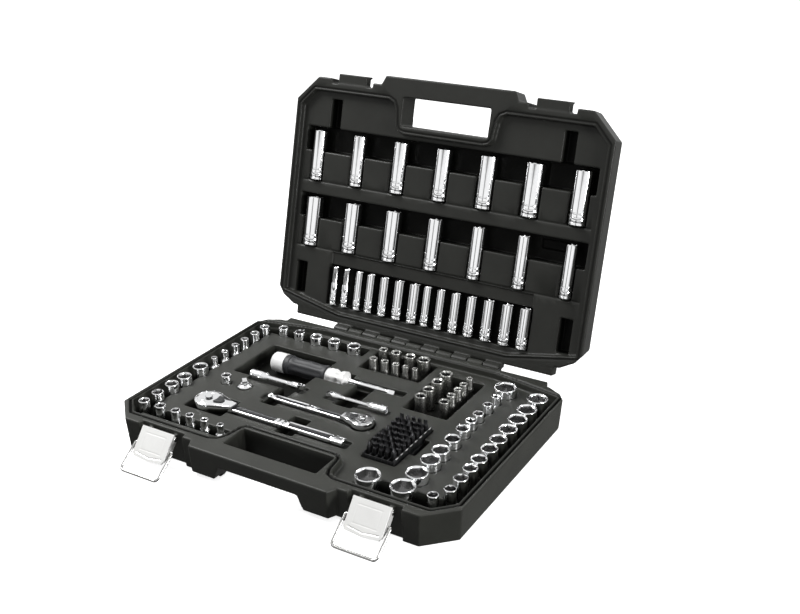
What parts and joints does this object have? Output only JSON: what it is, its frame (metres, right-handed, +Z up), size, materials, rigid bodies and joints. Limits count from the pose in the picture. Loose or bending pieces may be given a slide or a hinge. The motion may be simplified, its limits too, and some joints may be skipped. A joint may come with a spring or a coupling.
{
  "type": "socket wrench set in case",
  "caption": "Hinged carrying case with a tray of ratchets, a spinner handle, extension bars, screwdriver bits and short sockets, and deep sockets held in the lid.",
  "frame": {"origin": "centre of the base's underside between its sides, on the surface the case stands on", "axes": "+X to the right along the hinge, +Y from the handle to the hinge, +Z up"},
  "size_m": [0.43, 0.469, 0.3495],
  "materials": {
    "case_moulding": "fine moulded grain",
    "socket_chrome": "mirror",
    "satin_steel": "satin, warm grey",
    "latch_steel": "bright zinc plate",
    "wire_steel": "bright drawn wire",
    "black_grip": "soft matt",
    "white_plastic": "satin",
    "holder_plastic": "matt",
    "bit_steel": "black oxide",
    "switch_plastic": "satin"
  },
  "bodies": {
    "base": {"case_base": "case_moulding", "hinge_pin": "wire_steel", "latch_pin_left": "latch_steel", "latch_pin_right": "latch_steel", "socket_row_left": "socket_chrome", "socket_row_front": "socket_chrome", "socket_row_back": "socket_chrome", "socket_row_inner": "socket_chrome", "socket_row_outer": "socket_chrome", "star_socket_row_back": "satin_steel", "star_socket_row_front": "satin_steel", "star_socket_row_left": "satin_steel", "star_socket_row_right": "satin_steel", "socket_front_large": "socket_chrome", "socket_front_corner": "socket_chrome", "socket_by_adapter": "socket_chrome"},
    "lid": {"case_lid": "case_moulding", "deep_socket_upper_1": "socket_chrome", "deep_socket_upper_2": "socket_chrome", "deep_socket_upper_3": "socket_chrome", "deep_socket_upper_4": "socket_chrome", "deep_socket_upper_5": "socket_chrome", "deep_socket_upper_6": "socket_chrome", "deep_socket_upper_7": "socket_chrome", "deep_socket_middle_1": "socket_chrome", "deep_socket_middle_2": "socket_chrome", "deep_socket_middle_3": "socket_chrome", "deep_socket_middle_4": "socket_chrome", "deep_socket_middle_5": "socket_chrome", "deep_socket_middle_6": "socket_chrome", "deep_socket_middle_7": "socket_chrome", "deep_socket_lower_metric": "socket_chrome", "deep_socket_lower_inch": "socket_chrome"},
    "lever_left": {"latch_lever_left": "latch_steel"},
    "bail_left": {"latch_bail_left": "wire_steel"},
    "lever_right": {"latch_lever_right": "latch_steel"},
    "bail_right": {"latch_bail_right": "wire_steel"},
    "large_ratchet": {"large_ratchet_body": "socket_chrome"},
    "large_ratchet_drive": {"large_ratchet_drive": "socket_chrome"},
    "large_ratchet_button": {"large_ratchet_release_button": "socket_chrome"},
    "large_ratchet_lever": {"large_ratchet_direction_lever": "switch_plastic"},
    "small_ratchet": {"small_ratchet_body": "socket_chrome"},
    "small_ratchet_drive": {"small_ratchet_drive": "socket_chrome"},
    "small_ratchet_button": {"small_ratchet_release_button": "socket_chrome"},
    "small_ratchet_lever": {"small_ratchet_direction_lever": "switch_plastic"},
    "spinner": {"spinner_end_cap": "white_plastic", "spinner_grip": "black_grip", "spinner_collar": "white_plastic", "spinner_shaft": "socket_chrome"},
    "long_extension": {"long_extension": "socket_chrome"},
    "short_extension": {"short_extension": "socket_chrome"},
    "drive_adapter": {"drive_adapter": "socket_chrome"},
    "bit_holder": {"bit_holder": "holder_plastic", "bit_row_1": "bit_steel", "bit_row_2": "bit_steel", "bit_row_3": "bit_steel", "bit_row_4": "bit_steel", "bit_row_5": "bit_steel"}
  },
  "joints": [
    {"name": "lid_hinge", "type": "hinge", "parent": "base", "child": "lid", "pos_m": [0, 0.1665, 0.0338], "axis": [-1, 0, 0], "range_deg": [-104, 0]},
    {"name": "lever_left_hinge", "type": "hinge", "parent": "base", "child": "lever_left", "pos_m": [-0.135, -0.15, 0.032], "axis": [-1, 0, 0], "range_deg": [-40, 60]},
    {"name": "bail_left_hinge", "type": "hinge", "parent": "lever_left", "child": "bail_left", "pos_m": [-0.135, -0.15976, 0.02192], "axis": [1, 0, 0], "range_deg": [-165.6, 0]},
    {"name": "lever_right_hinge", "type": "hinge", "parent": "base", "child": "lever_right", "pos_m": [0.135, -0.15, 0.032], "axis": [-1, 0, 0], "range_deg": [-40, 60]},
    {"name": "bail_right_hinge", "type": "hinge", "parent": "lever_right", "child": "bail_right", "pos_m": [0.135, -0.15976, 0.02192], "axis": [1, 0, 0], "range_deg": [-165.6, 0]},
    {"name": "large_ratchet_lift", "type": "slide", "parent": "base", "child": "large_ratchet", "axis": [0, 0, 1], "range_m": [0, 0.06]},
    {"name": "large_ratchet_drive_turn", "type": "hinge", "parent": "large_ratchet", "child": "large_ratchet_drive", "pos_m": [-0.137, -0.064, 0.024], "axis": [0, 0, 1], "continuous": true},
    {"name": "large_ratchet_button_press", "type": "slide", "parent": "large_ratchet", "child": "large_ratchet_button", "axis": [0, 0, -1], "range_m": [0, 0.001], "stiffness_N_per_m": 300, "springref_m": -0.0005},
    {"name": "large_ratchet_direction", "type": "hinge", "parent": "large_ratchet", "child": "large_ratchet_lever", "pos_m": [-0.1255, -0.064, 0.037], "axis": [0, 0, 1], "range_deg": [-25, 25]},
    {"name": "small_ratchet_lift", "type": "slide", "parent": "base", "child": "small_ratchet", "axis": [0, 0, 1], "range_m": [0, 0.06]},
    {"name": "small_ratchet_drive_turn", "type": "hinge", "parent": "small_ratchet", "child": "small_ratchet_drive", "pos_m": [0.041, -0.0195, 0.024], "axis": [0, 0, 1], "continuous": true},
    {"name": "small_ratchet_button_press", "type": "slide", "parent": "small_ratchet", "child": "small_ratchet_button", "axis": [0, 0, -1], "range_m": [0, 0.001], "stiffness_N_per_m": 300, "springref_m": -0.0005},
    {"name": "small_ratchet_direction", "type": "hinge", "parent": "small_ratchet", "child": "small_ratchet_lever", "pos_m": [0.03226, -0.0195, 0.037], "axis": [0, 0, 1], "range_deg": [-25, 25]},
    {"name": "spinner_lift", "type": "slide", "parent": "base", "child": "spinner", "axis": [0, 0, 1], "range_m": [0, 0.06]},
    {"name": "long_extension_lift", "type": "slide", "parent": "base", "child": "long_extension", "axis": [0, 0, 1], "range_m": [0, 0.06]},
    {"name": "short_extension_lift", "type": "slide", "parent": "base", "child": "short_extension", "axis": [0, 0, 1], "range_m": [0, 0.06]},
    {"name": "drive_adapter_lift", "type": "slide", "parent": "base", "child": "drive_adapter", "axis": [0, 0, 1], "range_m": [0, 0.06]},
    {"name": "bit_holder_lift", "type": "slide", "parent": "base", "child": "bit_holder", "axis": [0, 0, 1], "range_m": [0, 0.06]}
  ]
}
